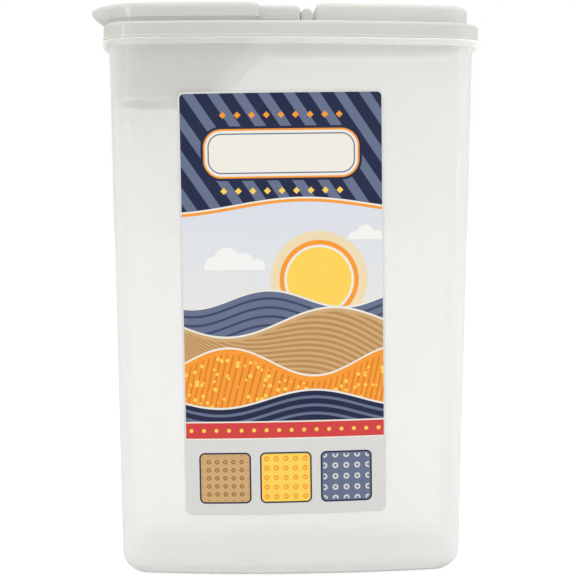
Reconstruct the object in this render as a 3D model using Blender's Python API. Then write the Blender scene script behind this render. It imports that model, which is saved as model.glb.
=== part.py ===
"""Flip-top cereal dispenser: a tall tapered tub, its lid with a hinged pouring flap, and the
funnel insert that grips the cereal bag inside the pouring end.

Metres, +Z up, with the front at -Y and the pouring end at -X. The origin is on the table under
the middle of the whole object. Every piece is drawn about the middle of the tub, which the thumb
tab puts a little further to +X. Plan outlines are parallel to the tub's own bowed outline, so an
offset of 0 is the outer wall at the height of the mouth flange.
"""
import bpy
import bmesh
from math import atan2, cos, hypot, pi, radians, sin, sqrt, tan
from mathutils import Matrix

# Container
MOUTH_LENGTH = 0.2082
MOUTH_DEPTH = 0.1090
LONG_SIDE_RADIUS = 0.567
SHORT_SIDE_RADIUS = 0.272
CORNER_RADIUS = 0.022
WALL_DRAFT = radians(0.98)
CONTAINER_WALL = 0.0016
FLANGE_HEIGHT = 0.3022
FLANGE_REACH = 0.0047
FLANGE_LEAN = 0.0009
FLANGE_ROLL = 0.0026
FLANGE_EDGE = 0.0008
BASE_FILLET = 0.012
FOOT_WIDTH = 0.008
BASE_RECESS = 0.0010
RIM_RISE = 0.0070
RIM_REACH = 0.0012
RIM_WALL = 0.0018
LEDGE_RISE = 0.0016

# Front label
LABEL_WIDTH = 0.113
LABEL_TOP_MARGIN = 0.0287
LABEL_LOW_MARGIN = 0.0375
LABEL_HEIGHT = FLANGE_HEIGHT - LABEL_TOP_MARGIN - LABEL_LOW_MARGIN
LABEL_CENTRE_X = -0.0056
LABEL_CENTRE_Z = LABEL_LOW_MARGIN + LABEL_HEIGHT / 2
LABEL_TILT = radians(0.84)
LABEL_CORNER = 0.0035
LABEL_THICKNESS = 0.0003

# Hinge line, as a share of the tub's length, and how far the openings and raised parts stay from it
HINGE_SHARE = 0.03506
HINGE_X = HINGE_SHARE * MOUTH_LENGTH
STORE_FROM_HINGE = 0.0049
POUR_FROM_HINGE = 0.0523
NECK_FROM_HINGE = 0.0037
NECK_LENGTH = 0.0221

# Bag gripper
GRIPPER_WALL = 0.0014
GRIPPER_DROP = 0.0332
GRIPPER_TAPER = 0.0010
GRIPPER_MOUTH_X = -0.0135
GRIPPER_SLANT = radians(45.5)
GRIPPER_LIP = 0.0012
GRIPPER_LIP_REACH = 0.0030
GRIPPER_CORNER = 0.006

# Lid
LID_WALL = 0.0016
SKIRT_REACH = 0.0030
SKIRT_BEAD = 0.0004
SKIRT_BEAD_HEIGHT = 0.0014
RIM_HEADROOM = 0.0007
DECK_HEIGHT = FLANGE_HEIGHT + RIM_RISE + RIM_HEADROOM + LID_WALL
DECK_SHOULDER = 0.0022
SEAL_WALL = 0.0012
STEP_WIDTH = 0.0063
STORE_START_X = HINGE_X + STORE_FROM_HINGE
STORE_RISE = 0.0101
STORE_SHOULDER = 0.0028
STORE_CROWN = 0.0010
STORE_CORNER = 0.0035
POUR_END_MARGIN = 0.0091
POUR_SIDE_MARGIN = 0.0165
POUR_FAR_X = POUR_END_MARGIN - MOUTH_LENGTH / 2
POUR_NEAR_X = HINGE_X - POUR_FROM_HINGE
POUR_WIDTH = MOUTH_DEPTH - 2 * POUR_SIDE_MARGIN
POUR_CORNER = 0.012
COLLAR_WALL = 0.0014
COLLAR_DROP = 0.0050

# Hinge
HINGE_RISE = 0.0041
EAR_RADIUS = 0.0030
EAR_THICKNESS = 0.0050
EAR_SIDE_MARGIN = 0.0055
EAR_FACE_Y = MOUTH_DEPTH / 2 - EAR_SIDE_MARGIN
KNUCKLE_RADIUS = 0.0028
WEB_THICKNESS = 0.0039
PIN_RADIUS = 0.0015
PIN_CLEARANCE = 0.0003
PIN_END_CLEARANCE = 0.0005
EAR_END_WALL = 0.0010

# Flip top
FLAP_WALL = 0.0016
FLAP_END_REACH = -0.0015
FLAP_NECK_END_X = HINGE_X - NECK_FROM_HINGE
FLAP_NECK_START_X = FLAP_NECK_END_X - NECK_LENGTH
FLAP_NECK_OVERLAP = 0.012
FLAP_NECK_LIFT = 0.0008
FLAP_NECK_RISE = 0.0087
FLAP_NECK_SHOULDER = 0.0024
FLAP_NECK_CROWN = 0.0002
FLAP_BULGE = 0.0034
FLAP_LIP_LIFT = 0.0024
FLAP_RISE = 0.0103
FLAP_SHOULDER = 0.0032
FLAP_CROWN = 0.0011
FLAP_CORNER = 0.0040
PLUG_WALL = 0.0012
PLUG_CLEARANCE = 0.0005
PLUG_TAPER = 0.0009
PLUG_DROP = 0.0045
TAB_REACH = 0.0122
TAB_SIDE_MARGIN = 0.0095
TAB_HALF_WIDTH = MOUTH_DEPTH / 2 - TAB_SIDE_MARGIN
TAB_EDGE = 0.0009
TAB_FOOT_REACH = 0.0045

# Gaps between pieces that touch on the real object
SEAT_GAP = 0.0003
FIT_GAP = 0.0004

# Steps round one quarter turn of a corner, along a long side and along a short side
CORNER_STEPS = 8
LONG_STEPS = 5
SHORT_STEPS = 4
ROUND_STEPS = 5
FLAP_WALL_STEPS = 5
PIN_STEPS = 24
CROWN_SHARES = (0.8, 0.55, 0.3, 0.1)


def clear_scene():
    for old in list(bpy.data.objects):
        bpy.data.objects.remove(old, do_unlink=True)


def arc(centre, radius, start, end, steps):
    """Points on a circle in plan, from one angle to the other, both ends included."""
    angles = [start + (end - start) * i / steps for i in range(steps + 1)]
    return [(centre[0] + radius * cos(a), centre[1] + radius * sin(a)) for a in angles]


def corner_of_body():
    """Centre of the rounded corner that is tangent to a long side and a short side."""
    long_centre = (0.0, MOUTH_DEPTH / 2 - LONG_SIDE_RADIUS)
    short_centre = (MOUTH_LENGTH / 2 - SHORT_SIDE_RADIUS, 0.0)
    long_reach = LONG_SIDE_RADIUS - CORNER_RADIUS
    short_reach = SHORT_SIDE_RADIUS - CORNER_RADIUS
    dx = short_centre[0] - long_centre[0]
    dy = short_centre[1] - long_centre[1]
    apart = hypot(dx, dy)
    along = (long_reach ** 2 - short_reach ** 2 + apart ** 2) / (2 * apart)
    aside = sqrt(long_reach ** 2 - along ** 2)
    x = long_centre[0] + (along * dx + aside * dy) / apart
    y = long_centre[1] + (along * dy - aside * dx) / apart
    return (x, y), long_centre, short_centre


def side_angles():
    """Angles at which the short side and the long side run into the corner at +X, +Y."""
    corner, long_centre, short_centre = corner_of_body()
    to_short = atan2(corner[1] - short_centre[1], corner[0] - short_centre[0])
    to_long = atan2(corner[1] - long_centre[1], corner[0] - long_centre[0])
    return to_short, to_long


def mirrored_in_y(upper):
    """Close an outline whose upper half runs from +X to -X; points on the axis stay single."""
    lower = [(x, -y) for x, y in reversed(upper) if abs(y) > 1e-9]
    return upper + lower


def body_outline(offset):
    """The whole bowed outline of the tub, grown by an offset."""
    corner, long_centre, short_centre = corner_of_body()
    to_short, to_long = side_angles()
    quarter = arc(short_centre, SHORT_SIDE_RADIUS + offset, 0, to_short, SHORT_STEPS)
    quarter += arc(corner, CORNER_RADIUS + offset, to_short, to_long, CORNER_STEPS)[1:]
    quarter += arc(long_centre, LONG_SIDE_RADIUS + offset, to_long, pi / 2, LONG_STEPS)[1:]
    upper = quarter + [(-x, y) for x, y in reversed(quarter[:-1])]
    return mirrored_in_y(upper)


def end_outline(offset, limit_x, corner_radius, end_offset=None):
    """The -X part of the body outline, closed by a straight side at limit_x with round corners."""
    corner, long_centre, short_centre = corner_of_body()
    to_short, to_long = side_angles()
    shift = (end_offset - offset) if end_offset is not None else 0.0
    inner_x = limit_x - corner_radius
    reach = LONG_SIDE_RADIUS + offset - corner_radius
    inner_y = long_centre[1] + sqrt(reach ** 2 - inner_x ** 2)
    turn = atan2(inner_y - long_centre[1], inner_x)
    upper = arc((inner_x, inner_y), corner_radius, 0, turn, ROUND_STEPS)
    left_corner = (-corner[0] - shift, corner[1])
    left_short = (-short_centre[0] - shift, 0.0)
    upper += arc(long_centre, LONG_SIDE_RADIUS + offset, turn, pi - to_long, LONG_STEPS)[1:-1]
    upper += arc(left_corner, CORNER_RADIUS + offset, pi - to_long, pi - to_short, CORNER_STEPS)
    upper += arc(left_short, SHORT_SIDE_RADIUS + offset, pi - to_short, pi, SHORT_STEPS)[1:]
    return mirrored_in_y(upper)


def band_outline(offset, start_x, end_x, corner_radius):
    """A strip of the body outline between two straight sides, with round corners."""
    _, long_centre, _ = corner_of_body()
    reach = LONG_SIDE_RADIUS + offset - corner_radius
    upper = []
    turns = []
    for inner_x in (end_x - corner_radius, start_x + corner_radius):
        inner_y = long_centre[1] + sqrt(reach ** 2 - inner_x ** 2)
        turns.append((inner_x, inner_y, atan2(inner_y - long_centre[1], inner_x)))
    right, left = turns
    upper += arc(right[:2], corner_radius, 0, right[2], ROUND_STEPS)
    upper += arc(long_centre, LONG_SIDE_RADIUS + offset, right[2], left[2], LONG_STEPS)[1:-1]
    upper += arc(left[:2], corner_radius, left[2], pi, ROUND_STEPS)
    return mirrored_in_y(upper)


def rounded_rectangle(start_x, end_x, width, corner_radius):
    """A plain rounded rectangle, centred on the X axis."""
    inner_y = width / 2 - corner_radius
    upper = arc((end_x - corner_radius, inner_y), corner_radius, 0, pi / 2, ROUND_STEPS)
    upper += arc((start_x + corner_radius, inner_y), corner_radius, pi / 2, pi, ROUND_STEPS)
    return mirrored_in_y(upper)


def at_height(outline, z):
    return [(x, y, z) for x, y in outline]


def leaning_flange(offset):
    """The tub's outline; where it is wide enough for the flange it moves to the storage end."""
    lean = FLANGE_LEAN * max(0.0, offset - RIM_REACH) / (FLANGE_REACH - RIM_REACH)
    return [(x + lean, y) for x, y in body_outline(offset)]


def drawn_in(outline, share, z):
    """An outline shrunk towards its middle, for the rings of a crowned top."""
    middle_x = (min(p[0] for p in outline) + max(p[0] for p in outline)) / 2
    return [(middle_x + (x - middle_x) * share, y * share, z) for x, y in outline]


def material(name, colour, roughness, transmission=0.0):
    finish = bpy.data.materials.new(name)
    finish.use_nodes = True
    shader = finish.node_tree.nodes["Principled BSDF"]
    shader.inputs["Base Color"].default_value = (*colour, 1.0)
    shader.inputs["Roughness"].default_value = roughness
    shader.inputs["Metallic"].default_value = 0.0
    shader.inputs["Transmission Weight"].default_value = transmission
    return finish


def piece_from(name, shape):
    """Make an object of a bmesh, placed by the empty at the middle of the tub."""
    bmesh.ops.recalc_face_normals(shape, faces=shape.faces)
    mesh = bpy.data.meshes.new(name)
    shape.to_mesh(mesh)
    shape.free()
    piece = bpy.data.objects.new(name, mesh)
    piece.parent = tub_middle
    bpy.context.collection.objects.link(piece)
    return piece


def loft(name, rings, closed=False):
    """Skin rings of equal point counts; capped at both ends, or joined end to end."""
    shape = bmesh.new()
    rows = [[shape.verts.new(point) for point in ring] for ring in rings]
    pairs = list(zip(rows, rows[1:]))
    if closed:
        pairs.append((rows[-1], rows[0]))
    else:
        shape.faces.new(rows[0])
        shape.faces.new(rows[-1])
    for lower, upper in pairs:
        for i in range(len(lower)):
            j = (i + 1) % len(lower)
            shape.faces.new((lower[i], lower[j], upper[j], upper[i]))
    return piece_from(name, shape)


def cylinder_along_y(name, centre, radius, start_y, end_y):
    """A pin, barrel or bore lying along Y, as a loft of two turned rings."""
    turn = [2 * pi * i / PIN_STEPS for i in range(PIN_STEPS)]
    rings = []
    for y in (start_y, end_y):
        rings.append([(centre[0] + radius * cos(a), y, centre[1] + radius * sin(a)) for a in turn])
    return loft(name, rings)


def extruded_along_y(name, profile, start_y, end_y):
    """A side profile of (x, z) points, extruded along Y."""
    rings = [[(x, y, z) for x, z in profile] for y in (start_y, end_y)]
    return loft(name, rings)


def guide(tool):
    """Keep a construction solid out of the finished model."""
    tool.hide_render = True
    tool.display_type = 'WIRE'
    return tool


def combine(piece, tool, operation):
    step = piece.modifiers.new(tool.name, 'BOOLEAN')
    step.operation = operation
    step.solver = 'EXACT'
    step.object = guide(tool)


def empty_at(name, location, parent=None):
    marker = bpy.data.objects.new(name, None)
    marker.location = location
    marker.parent = parent
    bpy.context.collection.objects.link(marker)
    return marker


def hang_on(piece, pivot):
    """Give a moving piece its origin on the empty that marks its joint."""
    piece.data.transform(Matrix.Translation(-pivot.location))
    piece.parent = pivot


def finish_piece(piece, look):
    piece.data.materials.append(look)
    piece.data.shade_smooth()
    piece.data.set_sharp_from_angle(angle=radians(35))


def wall_offset(z):
    """Offset of the tub's outer wall at a height, drawn in by the moulding draft."""
    return -(FLANGE_HEIGHT - z) * tan(WALL_DRAFT)


def build_container(look):
    rim_top = FLANGE_HEIGHT + RIM_RISE
    ledge = FLANGE_HEIGHT + LEDGE_RISE
    foot = wall_offset(0) - BASE_FILLET
    floor = BASE_RECESS + CONTAINER_WALL
    profile = [(foot - FOOT_WIDTH - BASE_RECESS, BASE_RECESS), (foot - FOOT_WIDTH, 0.0)]
    for i in range(ROUND_STEPS + 1):
        a = pi / 2 * i / ROUND_STEPS
        z = BASE_FILLET * (1 - cos(a))
        profile.append((foot + (BASE_FILLET + wall_offset(z) - wall_offset(0)) * sin(a), z))
    roll_start = FLANGE_HEIGHT - FLANGE_EDGE - FLANGE_ROLL
    for i in range(ROUND_STEPS + 1):
        a = pi / 2 * i / ROUND_STEPS
        wall = wall_offset(roll_start)
        reach = wall + (FLANGE_REACH - wall) * sin(a)
        profile.append((reach, roll_start + FLANGE_ROLL * (1 - cos(a))))
    profile.append((FLANGE_REACH, FLANGE_HEIGHT - FLANGE_EDGE / 2))
    profile.append((FLANGE_REACH - FLANGE_EDGE / 2, FLANGE_HEIGHT))
    profile.append((RIM_REACH, FLANGE_HEIGHT))
    edge = RIM_WALL / 4
    profile.append((RIM_REACH, rim_top - edge))
    profile.append((RIM_REACH - edge, rim_top))
    profile.append((RIM_REACH - RIM_WALL + edge, rim_top))
    profile.append((RIM_REACH - RIM_WALL, rim_top - edge))
    profile.append((RIM_REACH - RIM_WALL, ledge))
    profile.append((-CONTAINER_WALL, ledge))
    inner_fillet = BASE_FILLET - CONTAINER_WALL
    for i in range(ROUND_STEPS + 1):
        a = pi / 2 * (1 - i / ROUND_STEPS)
        z = floor + inner_fillet * (1 - cos(a))
        profile.append((wall_offset(z) - CONTAINER_WALL - inner_fillet * (1 - sin(a)), z))
    rings = [at_height(leaning_flange(offset), z) for offset, z in profile]
    container = loft("container", rings)
    finish_piece(container, look)


def label_outline():
    """Corner points of the label in its own flat frame, before it is tilted and laid on."""
    corners = []
    for side_x, side_z, start in ((1, 1, 0), (-1, 1, pi / 2), (-1, -1, pi), (1, -1, 3 * pi / 2)):
        centre = (side_x * (LABEL_WIDTH / 2 - LABEL_CORNER), side_z * (LABEL_HEIGHT / 2 - LABEL_CORNER))
        corners.append(arc(centre, LABEL_CORNER, start, start + pi / 2, ROUND_STEPS))
    return corners


def on_front_wall(u, v, lift):
    """Where a point of the label lies on the tub's front wall, lifted off it."""
    x = LABEL_CENTRE_X + u * cos(LABEL_TILT) - v * sin(LABEL_TILT)
    z = LABEL_CENTRE_Z + u * sin(LABEL_TILT) + v * cos(LABEL_TILT)
    offset = wall_offset(z) + lift
    _, long_centre, _ = corner_of_body()
    y = -(long_centre[1] + sqrt((LONG_SIDE_RADIUS + offset) ** 2 - x ** 2))
    return (x, y, z)


def build_label(look):
    """A thin sheet that follows the bow and the draft of the front wall."""
    top_right, top_left, bottom_left, bottom_right = label_outline()
    right = bottom_right + top_right
    left = list(reversed(bottom_left)) + list(reversed(top_left))
    columns = 10
    lifts = (SEAT_GAP, SEAT_GAP + LABEL_THICKNESS)
    shape = bmesh.new()
    layers = []
    for lift in lifts:
        grid = []
        for (left_u, v), (right_u, _) in zip(left, right):
            row = [left_u + (right_u - left_u) * i / columns for i in range(columns + 1)]
            grid.append([shape.verts.new(on_front_wall(u, v, lift)) for u in row])
        layers.append(grid)
    inner, outer = layers
    rows = len(inner)
    for grid in layers:
        for r in range(rows - 1):
            for c in range(columns):
                shape.faces.new((grid[r][c], grid[r][c + 1], grid[r + 1][c + 1], grid[r + 1][c]))
    border = [(0, c) for c in range(columns)] + [(r, columns) for r in range(rows - 1)]
    border += [(rows - 1, c) for c in range(columns, 0, -1)] + [(r, 0) for r in range(rows - 1, 0, -1)]
    for (r0, c0), (r1, c1) in zip(border, border[1:] + border[:1]):
        shape.faces.new((inner[r0][c0], inner[r1][c1], outer[r1][c1], outer[r0][c0]))
    finish_piece(piece_from("front_label", shape), look)


def build_gripper(look):
    """A funnel that hangs on the ledge inside the mouth; its inner side slants to the pouring end."""
    lip_low = FLANGE_HEIGHT + LEDGE_RISE + SEAT_GAP
    lip_top = lip_low + GRIPPER_LIP
    low = FLANGE_HEIGHT - GRIPPER_DROP
    outer_top = -CONTAINER_WALL - FIT_GAP
    outer_low = outer_top - GRIPPER_TAPER
    lip_reach = RIM_REACH - RIM_WALL - FIT_GAP
    slant_wall = GRIPPER_WALL / sin(GRIPPER_SLANT)

    def slant_x(z):
        return GRIPPER_MOUTH_X - (FLANGE_HEIGHT - z) / tan(GRIPPER_SLANT)

    rings = []
    for offset, z, limit_x in (
            (outer_low, low, slant_x(low)),
            (outer_top, lip_low, slant_x(lip_low)),
            (lip_reach, lip_low, slant_x(lip_low) + GRIPPER_LIP_REACH),
            (lip_reach, lip_top, slant_x(lip_low) + GRIPPER_LIP_REACH),
            (outer_top - GRIPPER_WALL, lip_top, slant_x(lip_top) - slant_wall),
            (outer_low - GRIPPER_WALL, low, slant_x(low) - slant_wall)):
        rings.append(at_height(end_outline(offset, limit_x, GRIPPER_CORNER), z))
    gripper = loft("bag_gripper", rings, closed=True)
    finish_piece(gripper, look)


def shouldered(outline_at, low, rise, shoulder, crown, wall_steps=1):
    """Rings of an upright wall, a round shoulder and a crowned top. outline_at(inset, z)."""
    top = low + rise
    spring = top - shoulder
    rings = []
    for i in range(wall_steps):
        z = low + (spring - low) * i / wall_steps
        rings.append(at_height(outline_at(0.0, z), z))
    for i in range(ROUND_STEPS + 1):
        a = pi / 2 * i / ROUND_STEPS
        z = spring + shoulder * sin(a)
        rings.append(at_height(outline_at(shoulder * (1 - cos(a)), z), z))
    inner = outline_at(shoulder, top)
    for share in CROWN_SHARES:
        rings.append(drawn_in(inner, share, top + crown * (1 - share ** 2)))
    return rings


def facing_store_end(outline):
    """Turn an outline of the pouring end round to the storage end."""
    return [(-x, y) for x, y in outline]


def store_outline(inset, _=0.0):
    offset = SKIRT_REACH - STEP_WIDTH - inset
    return facing_store_end(end_outline(offset, -STORE_START_X - inset, STORE_CORNER))


def ear_profile(base_z):
    axis_z = DECK_HEIGHT + HINGE_RISE
    profile = [(HINGE_X - EAR_RADIUS, base_z), (HINGE_X + EAR_RADIUS, base_z)]
    for i in range(2 * ROUND_STEPS + 1):
        a = pi * i / (2 * ROUND_STEPS)
        profile.append((HINGE_X + EAR_RADIUS * cos(a), axis_z + EAR_RADIUS * sin(a)))
    return profile


def pour_outline(grow):
    return rounded_rectangle(POUR_FAR_X - grow, POUR_NEAR_X + grow,
                             POUR_WIDTH + 2 * grow, POUR_CORNER + grow)


def build_lid(look):
    skirt_low = FLANGE_HEIGHT + FIT_GAP
    underside = DECK_HEIGHT - LID_WALL
    bead_top = skirt_low + SKIRT_BEAD_HEIGHT
    bead_reach = SKIRT_REACH + SKIRT_BEAD
    profile = [(SKIRT_REACH - LID_WALL, skirt_low), (bead_reach - SKIRT_BEAD / 2, skirt_low),
               (bead_reach, skirt_low + SKIRT_BEAD / 2), (bead_reach, bead_top - SKIRT_BEAD),
               (SKIRT_REACH, bead_top)]
    for i in range(ROUND_STEPS + 1):
        a = pi / 2 * i / ROUND_STEPS
        reach = SKIRT_REACH - DECK_SHOULDER * (1 - cos(a))
        profile.append((reach, DECK_HEIGHT - DECK_SHOULDER * (1 - sin(a))))
    lid = loft("lid", [at_height(body_outline(offset), z) for offset, z in profile])

    store = loft("store_form", shouldered(store_outline, underside, STORE_RISE + LID_WALL,
                                          STORE_SHOULDER, STORE_CROWN))
    combine(lid, store, 'UNION')

    inside = body_outline(SKIRT_REACH - LID_WALL)
    cavity = loft("mouth_cavity", [at_height(inside, skirt_low - LID_WALL),
                                   at_height(inside, underside)])
    combine(lid, cavity, 'DIFFERENCE')

    def store_inside(inset, _):
        return store_outline(inset + LID_WALL)

    hollow = shouldered(store_inside, underside - LID_WALL, STORE_RISE + LID_WALL,
                        STORE_SHOULDER - LID_WALL / 2, STORE_CROWN)
    store_cavity = loft("store_cavity", hollow)
    combine(lid, store_cavity, 'DIFFERENCE')

    seal_reach = RIM_REACH - RIM_WALL - FIT_GAP
    seal_low = FLANGE_HEIGHT + LEDGE_RISE + SEAT_GAP + GRIPPER_LIP + SEAT_GAP
    seal_top = underside + LID_WALL / 2
    seal_profile = ((seal_reach - SEAL_WALL / 2, seal_low), (seal_reach, seal_low + SEAL_WALL / 2),
                    (seal_reach, seal_top), (seal_reach - SEAL_WALL, seal_top),
                    (seal_reach - SEAL_WALL, seal_low + SEAL_WALL / 4))
    seal_rings = [at_height(body_outline(offset), z) for offset, z in seal_profile]
    seal = loft("seal_wall", seal_rings, closed=True)
    combine(lid, seal, 'UNION')

    collar_low = underside - COLLAR_DROP
    collar = loft("collar_form", [at_height(pour_outline(COLLAR_WALL), z)
                                  for z in (collar_low, underside + LID_WALL / 2)])
    combine(lid, collar, 'UNION')
    mouth = loft("pour_opening", [at_height(pour_outline(0.0), z)
                                  for z in (collar_low - LID_WALL, DECK_HEIGHT - LID_WALL / 4)]
                 + [at_height(pour_outline(LID_WALL / 2), DECK_HEIGHT + LID_WALL / 4)])
    combine(lid, mouth, 'DIFFERENCE')

    axis_z = DECK_HEIGHT + HINGE_RISE
    for side, name in ((-1, "front"), (1, "back")):
        outer_y = side * EAR_FACE_Y
        inner_y = side * (EAR_FACE_Y - EAR_THICKNESS)
        ear = extruded_along_y(name + "_ear", ear_profile(DECK_HEIGHT - LID_WALL / 2), inner_y, outer_y)
        combine(lid, ear, 'UNION')
        bore = cylinder_along_y(name + "_ear_bore", (HINGE_X, axis_z), PIN_RADIUS + PIN_CLEARANCE,
                                inner_y - side * EAR_END_WALL, outer_y - side * EAR_END_WALL)
        combine(lid, bore, 'DIFFERENCE')
    finish_piece(lid, look)


def tab_reach(z):
    """How far the thumb tab stands out of the flap's end: a swollen underside, then a round edge."""
    lip = DECK_HEIGHT + FLAP_LIP_LIFT
    tip = DECK_HEIGHT + FLAP_RISE - TAB_EDGE
    if z > tip:
        return TAB_REACH - (z - tip)
    rise = max(0.0, z - lip) / (tip - lip)
    return TAB_FOOT_REACH + (TAB_REACH - TAB_FOOT_REACH) * sin(pi / 2 * rise)


def flap_outline(inset, z, wall=0.0):
    """The flap in plan, its end bowed out into the thumb tab, which has no shoulder."""
    offset = SKIRT_REACH - STEP_WIDTH + FLAP_BULGE - inset - wall
    end_offset = FLAP_END_REACH - inset - wall
    points = []
    for x, y in end_outline(offset, FLAP_NECK_START_X - inset - wall, FLAP_CORNER, end_offset):
        if x < -MOUTH_LENGTH / 4 and abs(y) < TAB_HALF_WIDTH:
            x -= (tab_reach(z) + inset) * cos(pi / 2 * y / TAB_HALF_WIDTH)
        points.append((x, y))
    return points


def neck_outline(inset, _=0.0):
    offset = SKIRT_REACH - STEP_WIDTH - inset
    start_x = FLAP_NECK_START_X - FLAP_NECK_OVERLAP + inset
    return band_outline(offset, start_x, FLAP_NECK_END_X - inset, FLAP_NECK_SHOULDER)


def build_flip_top(look):
    lip = DECK_HEIGHT + FLAP_LIP_LIFT
    top = DECK_HEIGHT + FLAP_RISE
    flap = loft("flip_top", shouldered(flap_outline, lip, top - lip, FLAP_SHOULDER, FLAP_CROWN,
                                       FLAP_WALL_STEPS))

    neck_low = DECK_HEIGHT + FLAP_NECK_LIFT
    neck = loft("neck_form", shouldered(neck_outline, neck_low, DECK_HEIGHT + FLAP_NECK_RISE - neck_low,
                                        FLAP_NECK_SHOULDER, FLAP_NECK_CROWN))
    combine(flap, neck, 'UNION')

    def flap_inside(inset, z):
        return flap_outline(inset, z, FLAP_WALL)

    def neck_inside(inset, _):
        return neck_outline(inset + FLAP_WALL)

    hollow = shouldered(flap_inside, neck_low - FLAP_WALL, top - neck_low,
                        FLAP_SHOULDER - FLAP_WALL / 2, FLAP_CROWN, FLAP_WALL_STEPS)
    combine(flap, loft("flap_cavity", hollow), 'DIFFERENCE')
    hollow = shouldered(neck_inside, neck_low - FLAP_WALL, DECK_HEIGHT + FLAP_NECK_RISE - neck_low,
                        FLAP_NECK_SHOULDER - FLAP_WALL / 2, FLAP_NECK_CROWN)
    combine(flap, loft("neck_cavity", hollow), 'DIFFERENCE')

    plug_low = DECK_HEIGHT - PLUG_DROP
    plug_top = top - FLAP_WALL / 2 + FLAP_CROWN / 2
    plug_rings = [at_height(pour_outline(-PLUG_CLEARANCE - PLUG_TAPER), plug_low),
                  at_height(pour_outline(-PLUG_CLEARANCE), DECK_HEIGHT),
                  at_height(pour_outline(-PLUG_CLEARANCE), plug_top),
                  at_height(pour_outline(-PLUG_CLEARANCE - PLUG_WALL), plug_top),
                  at_height(pour_outline(-PLUG_CLEARANCE - PLUG_WALL), DECK_HEIGHT),
                  at_height(pour_outline(-PLUG_CLEARANCE - PLUG_TAPER - PLUG_WALL), plug_low)]
    combine(flap, loft("plug_ring", plug_rings, closed=True), 'UNION')

    axis_z = DECK_HEIGHT + HINGE_RISE
    knuckle_y = EAR_FACE_Y - EAR_THICKNESS - PIN_CLEARANCE
    web_start_x = FLAP_NECK_END_X - FLAP_WALL / 2
    web_low = axis_z - WEB_THICKNESS / 2
    web_top = axis_z + WEB_THICKNESS / 2
    web = [(web_start_x, web_low), (HINGE_X, web_low), (HINGE_X, web_top), (web_start_x, web_top)]
    combine(flap, extruded_along_y("knuckle_web", web, -knuckle_y, knuckle_y), 'UNION')
    knuckle = cylinder_along_y("knuckle", (HINGE_X, axis_z), KNUCKLE_RADIUS, -knuckle_y, knuckle_y)
    combine(flap, knuckle, 'UNION')
    pin_y = EAR_FACE_Y - EAR_END_WALL - PIN_END_CLEARANCE
    pins = cylinder_along_y("hinge_pins", (HINGE_X, axis_z), PIN_RADIUS, -pin_y, pin_y)
    combine(flap, pins, 'UNION')
    hang_on(flap, hinge_axis)
    finish_piece(flap, look)


clear_scene()
tab_tip_x = -(MOUTH_LENGTH / 2 + FLAP_END_REACH + TAB_REACH)
flange_x = MOUTH_LENGTH / 2 + FLANGE_REACH + FLANGE_LEAN
tub_middle = empty_at("tub_middle", (-(tab_tip_x + flange_x) / 2, 0.0, 0.0))
hinge_axis = empty_at("hinge_axis", (HINGE_X, 0.0, DECK_HEIGHT + HINGE_RISE), tub_middle)
frosted = material("frosted_polypropylene", (0.84, 0.85, 0.84), 0.38, 0.5)
lid_white = material("white_polypropylene", (0.80, 0.80, 0.78), 0.35, 0.2)
insert_white = material("insert_polypropylene", (0.70, 0.70, 0.69), 0.40, 0.2)
paper = material("label_paper", (0.20, 0.24, 0.34), 0.45)
build_container(frosted)
build_label(paper)
build_gripper(insert_white)
build_lid(lid_white)
build_flip_top(lid_white)
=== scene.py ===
"""Flip-top cereal dispenser, dressed for its picture: tub, front label, bag gripper, lid and flap.

Metres, +Z up, front at -Y, pouring end at -X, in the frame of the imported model.
"""
from math import atan2, cos, hypot, pi, radians, sin, sqrt, tan

import bmesh
import bpy
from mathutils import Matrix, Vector


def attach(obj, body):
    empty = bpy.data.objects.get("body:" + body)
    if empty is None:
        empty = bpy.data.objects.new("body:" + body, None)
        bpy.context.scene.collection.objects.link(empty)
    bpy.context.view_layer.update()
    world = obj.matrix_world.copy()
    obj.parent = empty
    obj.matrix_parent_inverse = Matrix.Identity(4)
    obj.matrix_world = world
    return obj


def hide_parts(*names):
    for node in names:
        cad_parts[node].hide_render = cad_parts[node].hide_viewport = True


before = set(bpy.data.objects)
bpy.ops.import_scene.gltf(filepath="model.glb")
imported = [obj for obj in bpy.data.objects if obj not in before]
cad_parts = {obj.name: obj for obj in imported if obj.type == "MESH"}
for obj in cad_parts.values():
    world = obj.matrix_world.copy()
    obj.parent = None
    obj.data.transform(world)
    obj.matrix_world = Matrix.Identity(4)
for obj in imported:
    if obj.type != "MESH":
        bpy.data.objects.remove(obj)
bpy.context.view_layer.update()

# Camera: level with the upper half of the tub, a little left of its middle and looking slightly down.
CAMERA_TARGET = Vector((0.0016, 0.0, 0.1613))
CAMERA_SIDE = radians(-2.43)
CAMERA_RISE = radians(4.21)
CAMERA_DISTANCE = 0.790
FOCAL_LENGTH = 83.19
SENSOR_WIDTH = 36.0
camera_lens = bpy.data.cameras.new("camera")
camera_lens.lens = FOCAL_LENGTH
camera_lens.sensor_width = SENSOR_WIDTH
camera = bpy.data.objects.new("camera", camera_lens)
level = cos(CAMERA_RISE)
back = Vector((sin(CAMERA_SIDE) * level, -cos(CAMERA_SIDE) * level, sin(CAMERA_RISE)))
camera.location = CAMERA_TARGET + back * CAMERA_DISTANCE
camera.rotation_euler = back.to_track_quat('Z', 'Y').to_euler()
bpy.context.collection.objects.link(camera)
bpy.context.scene.camera = camera
bpy.context.scene.view_settings.view_transform = 'Standard'


# Studio: a white room that the camera and reflections see as plain white. As a light it is a little
# brighter behind the tub and dimmer at its sides. The floor is a white sweep that keeps the soft shadow
# of the tub's foot.
MILLIMETRES = 1000.0


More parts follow.
